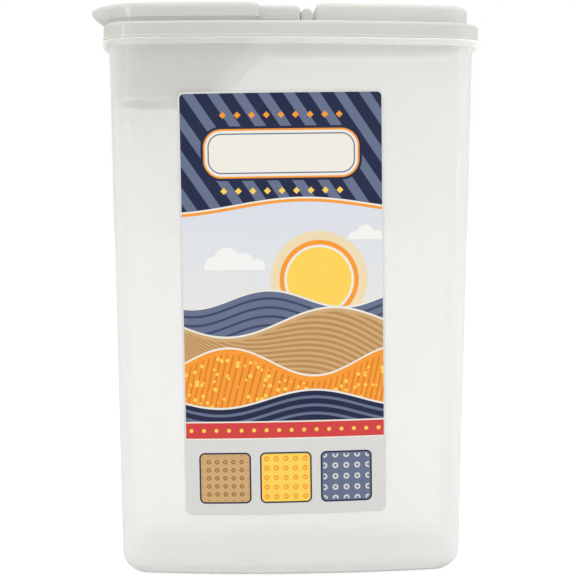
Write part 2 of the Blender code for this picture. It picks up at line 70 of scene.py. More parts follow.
class Amount:
    """A number that varies over a surface. An expression written with it adds its Math nodes."""

    def __init__(self, recipe, socket):
        self.recipe = recipe
        self.socket = socket

    def maths(self, operation, *others, clamp=False):
        """A Math node with this amount as its first value."""
        settings = {"operation": operation, "use_clamp": clamp}
        return self.recipe.add("Math", settings, dict(enumerate((self, *others))))

    def __add__(self, other):
        return self.maths('ADD', other)

    def __mul__(self, other):
        return self.maths('MULTIPLY', other)

    def __sub__(self, other):
        return self.maths('SUBTRACT', other)

    def __rsub__(self, other):
        return self.recipe.add("Math", {"operation": 'SUBTRACT'}, {0: other, 1: self})

    def __truediv__(self, other):
        return self.maths('DIVIDE', other)

    def __abs__(self):
        return self.maths('ABSOLUTE')

    __radd__ = __add__
    __rmul__ = __mul__


class Recipe:
    """The node tree of a material or of the world, written node by node."""

    def __init__(self, owner):
        owner.use_nodes = True
        self.tree = owner.node_tree
        self.tree.nodes.clear()

    def add(self, kind, settings=None, sockets=None, output=0):
        """Add a node: first its settings, then the values or links of its sockets."""
        node = self.tree.nodes.new("ShaderNode" + kind)
        for name, value in (settings or {}).items():
            setattr(node, name, value)
        for name, value in (sockets or {}).items():
            if isinstance(value, Amount):
                self.tree.links.new(value.socket, node.inputs[name])
            else:
                node.inputs[name].default_value = value
        return Amount(self, node.outputs[output]) if node.outputs else None

    def mix(self, share, first, second):
        """Blend two colours, sockets 6 and 7 of a Mix node, by a number from 0 to 1."""
        settings = {"data_type": 'RGBA', "clamp_factor": True}
        return self.add("Mix", settings, {0: share, 6: first, 7: second}, output=2)

    def place(self):
        """The surface point in millimetres, in the piece's own space."""
        point = self.add("TexCoord", output="Object")
        return self.add("Mapping", None, {"Vector": point, "Scale": (MILLIMETRES,) * 3})

    def plainly_seen(self):
        """1 for rays that look at the room: straight, in a reflection or through the plastic."""
        straight = self.add("LightPath", output="Is Camera Ray")
        mirrored = self.add("LightPath", output="Is Glossy Ray")
        passing = self.add("LightPath", output="Is Transmission Ray")
        return straight.maths('MAXIMUM', mirrored).maths('MAXIMUM', passing)


def tone(red, green, blue):
    """A colour given in display steps of 0 to 255, as linear light."""
    linear = []
    for step in (red, green, blue):
        share = step / 255
        linear.append(share / 12.92 if step < 10 else ((share + 0.055) / 1.055) ** 2.4)
    return (*linear, 1.0)


WHITE = (1.0, 1.0, 1.0, 1.0)
FRONT_LIGHT = 1.04
BACK_LIGHT = 1.28
BACK_FADE = 0.5
SIDE_DROP = 0.50
SIDE_START = 0.5
SIDE_END = 0.95
room = bpy.data.worlds.new("white_room")
bpy.context.scene.world = room
daylight = Recipe(room)
toward = daylight.add("TexCoord", output="Generated")
to_back = daylight.add("SeparateXYZ", None, {0: toward}, output="Y")
to_side = abs(daylight.add("SeparateXYZ", None, {0: toward}, output="X"))
soft_edge = {"interpolation_type": 'SMOOTHSTEP'}
behind = daylight.add("MapRange", soft_edge, {0: to_back, 1: -BACK_FADE, 2: BACK_FADE})
beside = daylight.add("MapRange", soft_edge, {0: to_side, 1: SIDE_START, 2: SIDE_END})
strength = (FRONT_LIGHT + behind * (BACK_LIGHT - FRONT_LIGHT)) * (1 - beside * SIDE_DROP)
strength = strength + daylight.plainly_seen() * (1.0 - strength)
white_light = daylight.add("Background", None, {"Color": WHITE, "Strength": strength})
daylight.add("OutputWorld", None, {"Surface": white_light})

FLOOR_HALF = 6.0
FLOOR_GLOW = 0.60
FLOOR_WHITE = tone(222, 222, 220)
floor_mesh = bpy.data.meshes.new("floor")
floor_corners = [(x * FLOOR_HALF, y * FLOOR_HALF, 0.0) for x, y in ((-1, -1), (1, -1), (1, 1), (-1, 1))]
floor_mesh.from_pydata(floor_corners, [], [(0, 1, 2, 3)])
floor = bpy.data.objects.new("floor", floor_mesh)
bpy.context.collection.objects.link(floor)
sweep = bpy.data.materials.new("white_sweep")
paint = Recipe(sweep)
matt = paint.add("BsdfDiffuse", None, {"Color": FLOOR_WHITE})
glow = paint.add("Emission", None, {"Color": WHITE, "Strength": paint.plainly_seen() * FLOOR_GLOW})
lit = paint.add("AddShader", None, {0: matt, 1: glow})
paint.add("OutputMaterial", None, {"Surface": lit})
floor_mesh.materials.append(sweep)


def softbox(name, location, aim, width, height, power):
    """A rectangular studio light that faces a point."""
    lamp = bpy.data.lights.new(name, 'AREA')
    lamp.shape = 'RECTANGLE'
    lamp.size = width
    lamp.size_y = height
    lamp.energy = power
    box = bpy.data.objects.new(name, lamp)
    box.location = location
    box.rotation_euler = (Vector(location) - Vector(aim)).to_track_quat('Z', 'Y').to_euler()
    bpy.context.collection.objects.link(box)


# One wide light overhead, one beside each end, and two narrow strips that draw a bright line down the
# front corners of the tub
softbox("top_light", (0.0, -0.12, 1.4), (0.0, 0.0, 0.3), width=1.0, height=1.0, power=6.0)
softbox("left_light", (-1.2, 0.1, 0.7), (0.0, 0.0, 0.2), width=0.9, height=0.9, power=0.3)
softbox("right_light", (1.2, 0.1, 0.7), (0.0, 0.0, 0.2), width=0.9, height=0.9, power=1.3)
softbox("left_strip", (-0.95, -0.46, 0.55), (-0.1, 0.0, 0.25), width=0.06, height=0.7, power=1.6)
softbox("right_strip", (0.99, -0.19, 0.40), (0.1, 0.0, 0.2), width=0.06, height=0.9, power=1.8)


# Container: one tall tub of natural polypropylene, injection moulded, its bowed walls drawn in by the
# draft. A rolled flange runs round under the mouth rim, and a foot ring round the recess of the base.
TUB_MIDDLE_X = 0.00255
MOUTH_LENGTH = 0.2082
MOUTH_DEPTH = 0.1090
LONG_SIDE_RADIUS = 0.567
SHORT_SIDE_RADIUS = 0.272
CORNER_RADIUS = 0.022
WALL_DRAFT = radians(0.98)
CONTAINER_WALL = 0.0016
FLANGE_HEIGHT = 0.3022
FLANGE_REACH = 0.0047
FLANGE_LEAN = 0.0009
FLANGE_ROLL = 0.0026
FLANGE_EDGE = 0.0008
BASE_FILLET = 0.012
FOOT_WIDTH = 0.008
BASE_RECESS = 0.0010
BASE_WALL = 0.0022
INNER_FILLET = 0.0070
BASE_SHARES = (0.1, 0.3, 0.5, 0.7, 0.85, 0.95)
RIM_RISE = 0.0070
RIM_REACH = 0.0012
RIM_WALL = 0.0018
MOUTH_EDGE_ROUND = RIM_WALL / 4
LEDGE_RISE = 0.0016
CORNER_STEPS = 16
LONG_STEPS = 20
SHORT_STEPS = 14
ROUND_STEPS = 8
WALL_RINGS = 10
ON_AXIS = 1e-9
CREASE_ANGLE = radians(32)
NATURAL_PLASTIC = (0.985, 0.98, 0.972, 1.0)
# Grey of the clear skin: painted shade that darkens the tub's outline where the skin is seen edge on
SKIN_EDGE_SHADE = (0.80, 0.795, 0.785, 1.0)
BASE_PLASTIC = (0.965, 0.96, 0.95, 1.0)
PLASTIC_IOR = 1.49
DENSE_SHARE = 0.955
CLOUD_SCALE = 0.035
GRAIN_SCALE = 2.2
WAVE_SCALE = 0.045


def arc(centre, radius, start, end, steps):
    """Points on a circle in plan, from one angle to the other, both ends included."""
    angles = [start + (end - start) * i / steps for i in range(steps + 1)]
    return [(centre[0] + radius * cos(a), centre[1] + radius * sin(a)) for a in angles]


# Each corner arc touches a long and a short arc from inside, so its centre is where two circles meet
long_centre = (0.0, MOUTH_DEPTH / 2 - LONG_SIDE_RADIUS)
short_centre = (MOUTH_LENGTH / 2 - SHORT_SIDE_RADIUS, 0.0)
dx = short_centre[0] - long_centre[0]
dy = short_centre[1] - long_centre[1]
apart = hypot(dx, dy)
long_reach = LONG_SIDE_RADIUS - CORNER_RADIUS
short_reach = SHORT_SIDE_RADIUS - CORNER_RADIUS
along = (long_reach ** 2 - short_reach ** 2 + apart ** 2) / (2 * apart)
off_line = sqrt(long_reach ** 2 - along ** 2)
corner = (long_centre[0] + (along * dx + off_line * dy) / apart,
          long_centre[1] + (along * dy - off_line * dx) / apart)
to_short = atan2(corner[1] - short_centre[1], corner[0] - short_centre[0])
to_long = atan2(corner[1] - long_centre[1], corner[0] - long_centre[0])


def mirrored_in_y(upper):
    """Close an outline whose upper half runs from +X to -X; points on the axis stay single."""
    return upper + [(x, -y) for x, y in reversed(upper) if abs(y) > ON_AXIS]


def body_outline(offset):
    """The whole bowed outline of the tub, grown by an offset."""
    quarter = arc(short_centre, SHORT_SIDE_RADIUS + offset, 0, to_short, SHORT_STEPS)
    quarter += arc(corner, CORNER_RADIUS + offset, to_short, to_long, CORNER_STEPS)[1:]
    quarter += arc(long_centre, LONG_SIDE_RADIUS + offset, to_long, pi / 2, LONG_STEPS)[1:]
    return mirrored_in_y(quarter + [(-x, y) for x, y in reversed(quarter[:-1])])


def at_height(outline, z):
    """An outline in plan as a ring at a height."""
    return [(x, y, z) for x, y in outline]


def drawn_in(outline, share, z):
    """An outline shrunk towards its middle, for the rings of a flat or crowned middle."""
    middle_x = (min(p[0] for p in outline) + max(p[0] for p in outline)) / 2
    return [(middle_x + (x - middle_x) * share, y * share, z) for x, y in outline]


def skinned(name, rings, closed=False):
    """A solid skinned over rings of equal point counts, capped, or joined end to end."""
    shape = bmesh.new()
    rows = [[shape.verts.new((x + TUB_MIDDLE_X, y, z)) for x, y, z in ring] for ring in rings]
    pairs = list(zip(rows, rows[1:]))
    if closed:
        pairs.append((rows[-1], rows[0]))
    else:
        shape.faces.new(rows[0])
        shape.faces.new(rows[-1])
    for lower, upper in pairs:
        for i in range(len(lower)):
            j = (i + 1) % len(lower)
            shape.faces.new((lower[i], lower[j], upper[j], upper[i]))
    bmesh.ops.recalc_face_normals(shape, faces=shape.faces)
    mesh = bpy.data.meshes.new(name)
    shape.to_mesh(mesh)
    shape.free()
    piece = bpy.data.objects.new(name, mesh)
    bpy.context.collection.objects.link(piece)
    return piece


def finished(piece, finish):
    """Give a piece its finish, smooth shading over its rounds and crisp edges."""
    piece.data.materials.clear()
    piece.data.materials.append(finish)
    piece.data.shade_smooth()
    piece.data.set_sharp_from_angle(angle=CREASE_ANGLE)
    even = piece.modifiers.new("even_shading", 'WEIGHTED_NORMAL')
    even.keep_sharp = True


def moulded(name, colour, roughness, gloss, through, clear=0.0):
    """Milky moulded plastic: faint clouds of density, a fine satin grain and slow waves in its gloss.

    through is the share of light that it scatters to its far side, clear the share that it lets pass.
    Where it is seen edge on its gloss fades, and a clear wall looks denser; with a grey colour that
    denseness is painted shade along the outline. Noise scales are per millimetre.
    """
    finish = bpy.data.materials.new(name)
    recipe = Recipe(finish)
    point = recipe.place()
    cloud = recipe.add("TexNoise", None, {
        "Vector": point, "Scale": CLOUD_SCALE, "Detail": 3.0, "Roughness": 0.55})
    grain = recipe.add("TexNoise", None, {
        "Vector": point, "Scale": GRAIN_SCALE, "Detail": 4.0, "Roughness": 0.6})
    wave = recipe.add("TexNoise", None, {
        "Vector": point, "Scale": WAVE_SCALE, "Detail": 1.0, "Roughness": 0.5})
    dense = tuple(c * DENSE_SHARE for c in colour[:3]) + (1.0,)
    shade = recipe.mix(cloud * 0.75 + grain * 0.25, dense, colour)
    satin = recipe.add("Bump", None, {"Strength": 0.05, "Distance": 0.00004, "Height": grain})
    slow = recipe.add("Bump", None, {
        "Strength": 0.35, "Distance": 0.0006, "Height": wave, "Normal": satin})
    facing = recipe.add("LayerWeight", None, {"Blend": 0.5}, output="Facing")
    edge_on = facing * facing
    alpha = 1 - clear / (1 - through)
    skin = recipe.add("BsdfPrincipled", None, {
        "Base Color": shade, "Roughness": roughness + (grain - 0.5) * 0.12 + (cloud - 0.5) * 0.10,
        "IOR": PLASTIC_IOR, "Specular IOR Level": 0.0,
        "Coat Weight": gloss * (1 - edge_on), "Coat Roughness": 0.06,
        "Alpha": alpha + edge_on * (1 - alpha) if clear else 1.0, "Normal": slow})
    depth = recipe.add("BsdfTranslucent", None, {"Color": colour})
    both = recipe.add("MixShader", None, {0: through, 1: skin, 2: depth})
    recipe.add("OutputMaterial", None, {"Surface": both})
    return finish


def quarter_turn():
    """The angles of a quarter turn in equal steps, both ends included."""
    return [pi / 2 * i / ROUND_STEPS for i in range(ROUND_STEPS + 1)]


def between(start, end):
    """Heights in equal steps from one to the other, without the ends."""
    return [start + (end - start) * i / WALL_RINGS for i in range(1, WALL_RINGS)]


def wall_offset(z):
    """Offset of the tub's outer wall at a height, drawn in by the moulding draft."""
    return -(FLANGE_HEIGHT - z) * tan(WALL_DRAFT)


def leaning_flange(offset):
    """The tub's outline; where it is wide enough for the flange it moves to the storage end."""
    lean = FLANGE_LEAN * max(0.0, offset - RIM_REACH) / (FLANGE_REACH - RIM_REACH)
    return [(x + lean, y) for x, y in body_outline(offset)]


rim_top = FLANGE_HEIGHT + RIM_RISE
rim_inside = RIM_REACH - RIM_WALL
ledge = FLANGE_HEIGHT + LEDGE_RISE
foot = wall_offset(0) - BASE_FILLET
base_top = BASE_RECESS + BASE_WALL
tub_profile = [(foot - FOOT_WIDTH - BASE_RECESS, BASE_RECESS), (foot - FOOT_WIDTH, 0.0)]
for a in quarter_turn():
    z = BASE_FILLET * (1 - cos(a))
    tub_profile.append((foot + (BASE_FILLET + wall_offset(z) - wall_offset(0)) * sin(a), z))
roll_start = FLANGE_HEIGHT - FLANGE_EDGE - FLANGE_ROLL
roll_offset = wall_offset(roll_start)
tub_profile += [(wall_offset(z), z) for z in between(BASE_FILLET, roll_start)]
# The clear skin ends at the first ring of the flange's roll
skin_rings = len(BASE_SHARES) + len(tub_profile) + 1
for a in quarter_turn():
    tub_profile.append((roll_offset + (FLANGE_REACH - roll_offset) * sin(a),
                        roll_start + FLANGE_ROLL * (1 - cos(a))))
tub_profile += [
    (FLANGE_REACH, FLANGE_HEIGHT - FLANGE_EDGE / 2),
    (FLANGE_REACH - FLANGE_EDGE / 2, FLANGE_HEIGHT),
    (RIM_REACH, FLANGE_HEIGHT),
    (RIM_REACH, rim_top - MOUTH_EDGE_ROUND),
    (RIM_REACH - MOUTH_EDGE_ROUND, rim_top),
    (rim_inside + MOUTH_EDGE_ROUND, rim_top),
    (rim_inside, rim_top - MOUTH_EDGE_ROUND),
    (rim_inside, ledge),
    (-CONTAINER_WALL, ledge)]
tub_profile += [(wall_offset(z) - CONTAINER_WALL, z) for z in between(ledge, base_top + INNER_FILLET)]
for a in reversed(quarter_turn()):
    z = base_top + INNER_FILLET * (1 - cos(a))
    tub_profile.append((wall_offset(z) - CONTAINER_WALL - INNER_FILLET * (1 - sin(a)), z))
recess = body_outline(tub_profile[0][0])
hollow_floor = body_outline(tub_profile[-1][0])
tub_rings = [drawn_in(recess, share, BASE_RECESS) for share in BASE_SHARES]
tub_rings += [at_height(leaning_flange(offset), z) for offset, z in tub_profile]
tub_rings += [drawn_in(hollow_floor, share, base_top) for share in reversed(BASE_SHARES)]
tub = skinned("tub_shell", tub_rings)

# The base is denser than the walls, and the outside of the walls is the clear skin of the moulding,
# whose grey is painted shade along the tub's outline
milky_wall = moulded("natural_polypropylene", NATURAL_PLASTIC, roughness=0.26, gloss=0.1,
                     through=0.44, clear=0.37)
clear_skin_edge_shade = moulded("wall_skin_edge_shade", SKIN_EDGE_SHADE, roughness=0.24, gloss=0.6, through=0.0, clear=0.66)
dense_base = moulded("base_polypropylene", BASE_PLASTIC, roughness=0.26, gloss=0.1,
                     through=0.44, clear=0.14)
finished(tub, milky_wall)
tub.data.materials.append(clear_skin_edge_shade)
tub.data.materials.append(dense_base)
around = len(tub_rings[0])
recess_end = len(BASE_SHARES) * around
skin_end = skin_rings * around
inner_base_start = len(tub.data.vertices) - (len(BASE_SHARES) + ROUND_STEPS) * around
for face in tub.data.polygons:
    if max(face.vertices) < recess_end or min(face.vertices) >= inner_base_start:
        face.material_index = 2
    elif max(face.vertices) < skin_end:
        face.material_index = 1
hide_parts("container")
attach(tub, "tub")


# Front label: one printed film sheet with round corners, stuck on the front wall a little askew. Its
# print is a plain harvest landscape under a striped panel, with blank places where wording would go.
LABEL_WIDTH = 0.113
LABEL_LOW_MARGIN = 0.0375
LABEL_HEIGHT = 0.236
LABEL_CENTRE_X = -0.0056
LABEL_CENTRE_Z = LABEL_LOW_MARGIN + LABEL_HEIGHT / 2
LABEL_TILT = radians(0.84)
LABEL_CORNER = 0.0035
LABEL_THICKNESS = 0.0003
SEAT_GAP = 0.0003
LABEL_COLUMNS = 36
LABEL_ROWS = 40


def on_front_wall(u, v, lift):
    """Where a point of the label lies on the tub's front wall, lifted off it."""
    x = LABEL_CENTRE_X + u * cos(LABEL_TILT) - v * sin(LABEL_TILT)
    z = LABEL_CENTRE_Z + u * sin(LABEL_TILT) + v * cos(LABEL_TILT)
    reach = LONG_SIDE_RADIUS + wall_offset(z) + lift
    return (x + TUB_MIDDLE_X, -(long_centre[1] + sqrt(reach ** 2 - x ** 2)), z)


half_width = LABEL_WIDTH / 2
half_height = LABEL_HEIGHT / 2
straight = half_height - LABEL_CORNER
corner_x = half_width - LABEL_CORNER
edge_points = arc((corner_x, -straight), LABEL_CORNER, -pi / 2, 0.0, ROUND_STEPS)
edge_points += [(half_width, -straight + 2 * straight * i / LABEL_ROWS) for i in range(1, LABEL_ROWS)]
edge_points += arc((corner_x, straight), LABEL_CORNER, 0.0, pi / 2, ROUND_STEPS)
sheet = bmesh.new()
layers = []
for lift in (SEAT_GAP, SEAT_GAP + LABEL_THICKNESS):
    grid = []
    for reach, up in edge_points:
        row = [-reach + 2 * reach * i / LABEL_COLUMNS for i in range(LABEL_COLUMNS + 1)]
        grid.append([sheet.verts.new(on_front_wall(across, up, lift)) for across in row])
    layers.append(grid)
last = len(edge_points) - 1
for grid in layers:
    for r in range(last):
        for c in range(LABEL_COLUMNS):
            sheet.faces.new((grid[r][c], grid[r][c + 1], grid[r + 1][c + 1], grid[r + 1][c]))
rim = [(0, c) for c in range(LABEL_COLUMNS)] + [(r, LABEL_COLUMNS) for r in range(last)]
rim += [(last, c) for c in range(LABEL_COLUMNS, 0, -1)] + [(r, 0) for r in range(last, 0, -1)]
inner, outer = layers
for (r0, c0), (r1, c1) in zip(rim, rim[1:] + rim[:1]):
    sheet.faces.new((inner[r0][c0], inner[r1][c1], outer[r1][c1], outer[r0][c0]))
bmesh.ops.recalc_face_normals(sheet, faces=sheet.faces)
label_mesh = bpy.data.meshes.new("label_sheet")
sheet.to_mesh(label_mesh)
sheet.free()
label = bpy.data.objects.new("label_sheet", label_mesh)
bpy.context.collection.objects.link(label)

NAVY = tone(16, 28, 62)
SLATE = tone(97, 107, 134)
DEEP_SLATE = tone(52, 64, 98)
PALE = tone(212, 211, 209)
CREAM = tone(232, 229, 220)
SKY = tone(212, 217, 226)
CLOUD_WHITE = tone(236, 236, 234)
ORANGE = tone(240, 150, 44)
RUST = tone(214, 120, 34)
YELLOW = tone(246, 205, 84)
RED = tone(205, 60, 60)
TAN = tone(201, 163, 112)
EARTH = tone(178, 134, 82)
BROWN = tone(139, 99, 62)
PAPER_DARK = tone(214, 213, 209)
PAPER_LIGHT = tone(232, 231, 228)
HAZE = tone(200, 198, 196)
FIBRE_SCALE = 1.6
PRESS_SCALE = 0.05

back_finish = bpy.data.materials.new("label_back")
plain = Recipe(back_finish)
pulp = plain.add("TexNoise", None, {
    "Vector": plain.place(), "Scale": FIBRE_SCALE, "Detail": 5.0, "Roughness": 0.65})
paper = plain.add("BsdfPrincipled", None, {
    "Base Color": plain.mix(pulp, PAPER_DARK, PAPER_LIGHT), "Roughness": 0.6})
plain.add("OutputMaterial", None, {"Surface": paper})

# The print's sizes are in millimetres, from the middle of the label: u to the right, v up
PRINT_SHARPNESS = 5.0
SKY_LOW = -60
SKY_SPAN = 120
SUN_X = 20
SUN_Y = 14
SUN_GLOW_RADIUS = 27
SUN_RINGS = ((22, ORANGE), (19.4, CREAM), (18, YELLOW))
LOW_CLOUD = ((-38, 22, 5.5), (-31, 25, 7.5), (-22, 23.5, 6), (-14, 22, 4))
LOW_CLOUD_FOOT = 20
HIGH_CLOUD = ((40, 37, 3.5), (46, 39, 5), (52, 37.5, 3.5))
HIGH_CLOUD_FOOT = 36
CREST_LINE = 1.1
FURROW_DEPTH = 3
FAN_LIFT = 30
FAN_REACH = 140
FAN_SPREAD = 260
GRAIN_CELLS = 0.26
GRAIN_SIZE = 0.30
GRAIN_SHARPNESS = 3.6
BAND_Y = -70
BAND_HALF = 4.4
BAND_EDGE = 0.8
BEAD_PITCH = 7.0
BEAD_RADIUS = 1.1
FOOT_TOP = -75.2
SWATCH_Y = -97
SWATCH_HALF = 14.5
SWATCH_CORNER = 3.2
SWATCH_FRAME = 0.9
SWATCH_MARGIN = 1.6
SWATCHES = ((-34, TAN, BROWN, 4.6), (0, YELLOW, ORANGE, 5.4), (34, SLATE, PALE, 6.2))
RING_SHARE = 0.27
HOLE_SHARE = 0.12
STRIPE_ANGLE = radians(34)
STRIPE_PITCH = 11.5
STRIPE_HALF = 2.6
PANEL_TRIM = 2.6
TRIM_LINE = 1.0
PLAQUE_Y = 84
PLAQUE_TRIM = 2.4
PLAQUE_RULE_DEPTH = 1.8
PLAQUE_RULE_HALF = 0.35
DIAMOND_ROWS = ((105, ORANGE), (63.5, YELLOW))
DIAMOND_SIZE = 1.9
DIAMOND_PITCH = 8.0
DIAMOND_REACH = 34.5
BORDER = 1.0

print_finish = bpy.data.materials.new("printed_film")
ink = Recipe(print_finish)
print_point = ink.place()
east = ink.add("SeparateXYZ", None, {0: print_point}, output="X")
east = east - MILLIMETRES * (LABEL_CENTRE_X + TUB_MIDDLE_X)
north = ink.add("SeparateXYZ", None, {0: print_point}, output="Z") - MILLIMETRES * LABEL_CENTRE_Z
u = east * cos(LABEL_TILT) + north * sin(LABEL_TILT)
v = north * cos(LABEL_TILT) - east * sin(LABEL_TILT)


def inside(depth):
    """1 where a depth in millimetres is positive, with an edge as crisp as print."""
    return (depth * PRINT_SHARPNESS).maths('ADD', 0.5, clamp=True)


def distance(across, up):
    """Length of the way across and up."""
    return (across * across + up * up).maths('SQRT')


def disc(x, y, radius):
    """1 inside a round spot."""
    return inside(radius - distance(u - x, v - y))


def plate(x, y, half_across, half_up, round_corner):
    """Depth inside a rectangle with round corners."""
    across = (abs(u - x) - (half_across - round_corner)).maths('MAXIMUM', 0.0)
    up = (abs(v - y) - (half_up - round_corner)).maths('MAXIMUM', 0.0)
    return round_corner - distance(across, up)


def ripple(across, pitch):
    """A triangle wave from 0 to half its pitch."""
    return across.maths('PINGPONG', pitch / 2)


def curve(height, swing, pitch, shift):
    """A wavy line across the label."""
    return (u * (2 * pi / pitch) + shift).maths('SINE') * swing + height


def hill(below, colour, height, swing, pitch, shift):
    """The picture with a hill and its pale crest line over it, and the depth below the crest."""
    land = curve(height, swing, pitch, shift) - v
    filled = ink.mix(inside(land), below, colour)
    return ink.mix(inside(CREST_LINE - land) * inside(land), filled, CREAM), land


def furrows(below, colour, lines, width, land):
    """The picture with thin lines over it, where the land is deep enough."""
    return ink.mix(inside(width - lines) * inside(land), below, colour)


picture = ink.mix((v - SKY_LOW) / SKY_SPAN, CREAM, SKY)

# Sun with its rings, and clouds with a flat foot, behind the hills
picture = ink.mix(disc(SUN_X, SUN_Y, SUN_GLOW_RADIUS) * 0.5, picture, YELLOW)
for radius, colour in SUN_RINGS:
    picture = ink.mix(disc(SUN_X, SUN_Y, radius), picture, colour)
for puffs, cloud_foot in ((LOW_CLOUD, LOW_CLOUD_FOOT), (HIGH_CLOUD, HIGH_CLOUD_FOOT)):
    for x, y, radius in puffs:
        picture = ink.mix(disc(x, y, radius) * inside(v - cloud_foot), picture, CLOUD_WHITE)

# Hills from the farthest to the nearest, each with its own furrows
picture, far_hill = hill(picture, SLATE, height=4, swing=5, pitch=84, shift=2.2)
picture = furrows(picture, DEEP_SLATE, ripple(far_hill, pitch=5.0), width=0.7,
                  land=far_hill - FURROW_DEPTH)
picture, mid_hill = hill(picture, TAN, height=-9, swing=8, pitch=118, shift=0.1)
fan = (mid_hill + FAN_LIFT) / (u + FAN_REACH) * FAN_SPREAD
picture = furrows(picture, EARTH, ripple(fan, pitch=5.2), width=1.3, land=mid_hill - FURROW_DEPTH)
picture, front_hill = hill(picture, ORANGE, height=-31, swing=8, pitch=96, shift=3.6)
picture = furrows(picture, RUST, ripple(u + front_hill * 0.25, pitch=3.4), width=0.5,
                  land=front_hill - FURROW_DEPTH - 1)
cells = ink.add("TexVoronoi", {"feature": 'F1'}, {
    "Vector": print_point, "Scale": GRAIN_CELLS, "Randomness": 0.8})
grains = inside((GRAIN_SIZE - cells) * GRAIN_SHARPNESS) * inside(front_hill - FURROW_DEPTH - 2)
picture = ink.mix(grains, picture, YELLOW)
picture, near_hill = hill(picture, NAVY, height=-52, swing=5, pitch=104, shift=0.6)
picture = furrows(picture, SLATE, ripple(near_hill, pitch=4.6), width=0.8,
                  land=near_hill - FURROW_DEPTH)

# Red band with a row of beads
picture = ink.mix(inside(BAND_HALF + BAND_EDGE - abs(v - BAND_Y)), picture, CREAM)
picture = ink.mix(inside(BAND_HALF - abs(v - BAND_Y)), picture, RED)
bead = distance(ripple(u, BEAD_PITCH) - BEAD_PITCH / 2, v - BAND_Y)
picture = ink.mix(inside(BEAD_RADIUS - bead), picture, YELLOW)

# Pale foot with three framed swatches of small rings
picture = ink.mix(inside(FOOT_TOP - v), picture, PALE)
for x, filling, dots, pitch in SWATCHES:
    swatch = plate(x, SWATCH_Y, SWATCH_HALF, SWATCH_HALF, SWATCH_CORNER)
    picture = ink.mix(inside(swatch), picture, NAVY)
    picture = ink.mix(inside(swatch - SWATCH_FRAME), picture, filling)
    ring = distance(ripple(u - x, pitch), ripple(v - SWATCH_Y, pitch))
    within = inside(swatch - SWATCH_MARGIN)
    picture = ink.mix(inside(pitch * RING_SHARE - ring) * within, picture, dots)
    picture = ink.mix(inside(pitch * HOLE_SHARE - ring) * within, picture, filling)

# Striped panel with a wavy foot, a blank plaque and two rows of diamonds
panel = v - curve(height=56, swing=4, pitch=150, shift=1.1)
picture = ink.mix(inside(panel + PANEL_TRIM), picture, ORANGE)
picture = ink.mix(inside(panel + TRIM_LINE), picture, CREAM)
picture = ink.mix(inside(panel), picture, NAVY)
slope = u * cos(STRIPE_ANGLE) + v * sin(STRIPE_ANGLE)
picture = furrows(picture, SLATE, ripple(slope, STRIPE_PITCH), width=STRIPE_HALF, land=panel)
plaque = plate(0, PLAQUE_Y, half_across=42, half_up=12.5, round_corner=9)
picture = ink.mix(inside(plaque + PLAQUE_TRIM), picture, NAVY)
picture = ink.mix(inside(plaque + TRIM_LINE), picture, ORANGE)
picture = ink.mix(inside(plaque), picture, CREAM)
picture = ink.mix(inside(PLAQUE_RULE_HALF - abs(plaque - PLAQUE_RULE_DEPTH)), picture, SLATE)
for y, colour in DIAMOND_ROWS:
    diamond = DIAMOND_SIZE - ripple(u, DIAMOND_PITCH) - abs(v - y)
    picture = ink.mix(inside(diamond) * inside(DIAMOND_REACH - abs(u)), picture, colour)

edge_depth = plate(0, 0, MILLIMETRES * half_width, MILLIMETRES * half_height,
                   MILLIMETRES * LABEL_CORNER)
picture = ink.mix(inside(BORDER - edge_depth), picture, PALE)

# The film's fibres and the waves of its press
fibre = ink.add("TexNoise", None, {
    "Vector": print_point, "Scale": FIBRE_SCALE, "Detail": 5.0, "Roughness": 0.65})
press = ink.add("TexNoise", None, {
    "Vector": print_point, "Scale": PRESS_SCALE, "Detail": 2.0, "Roughness": 0.5})
picture = ink.mix(fibre * 0.03, picture, ink.mix(press, HAZE, WHITE))
bump = ink.add("Bump", None, {"Strength": 0.12, "Distance": 0.00005, "Height": fibre})
bump = ink.add("Bump", None, {"Strength": 0.3, "Distance": 0.0005, "Height": press, "Normal": bump})
film = ink.add("BsdfPrincipled", None, {
    "Base Color": picture, "Roughness": 0.45 + (fibre - 0.5) * 0.15, "Specular IOR Level": 0.1,
    "Normal": bump})
ink.add("OutputMaterial", None, {"Surface": film})
finished(label, print_finish)
label_mesh.materials.append(back_finish)
for face in label_mesh.polygons:
    face.material_index = 1 if face.normal.y > -0.5 else 0
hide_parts("front_label")
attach(label, "tub")


# Bag gripper: a funnel of milky polypropylene that hangs on the ledge in the mouth. Its slanted side
# leans to the pouring end, and it presses the top of the cereal bag against the wall.
GRIPPER_WALL = 0.0014
GRIPPER_DROP = 0.0332
GRIPPER_TAPER = 0.0010
GRIPPER_MOUTH_X = -0.0135
GRIPPER_SLANT = radians(45.5)
GRIPPER_LIP = 0.0012
GRIPPER_LIP_REACH = 0.0030
GRIPPER_CORNER = 0.006
FIT_GAP = 0.0004
INSERT_PLASTIC = (0.80, 0.79, 0.77, 1.0)


def end_outline(offset, limit_x, corner_radius, end_offset=None):
    """The -X part of the tub's outline, closed by a straight side with round corners at limit_x."""
    shift = (end_offset - offset) if end_offset is not None else 0.0
    inner_x = limit_x - corner_radius
    reach = LONG_SIDE_RADIUS + offset - corner_radius
    inner_y = long_centre[1] + sqrt(reach ** 2 - inner_x ** 2)
    turn = atan2(inner_y - long_centre[1], inner_x)
    upper = arc((inner_x, inner_y), corner_radius, 0, turn, ROUND_STEPS)
    upper += arc(long_centre, LONG_SIDE_RADIUS + offset, turn, pi - to_long, LONG_STEPS)[1:-1]
    upper += arc((-corner[0] - shift, corner[1]), CORNER_RADIUS + offset,
                 pi - to_long, pi - to_short, CORNER_STEPS)
    upper += arc((-short_centre[0] - shift, 0.0), SHORT_SIDE_RADIUS + offset,
                 pi - to_short, pi, SHORT_STEPS)[1:]
    return mirrored_in_y(upper)


def slant_x(z):
    """Where the gripper's slanted side stands at a height."""
    return GRIPPER_MOUTH_X - (FLANGE_HEIGHT - z) / tan(GRIPPER_SLANT)


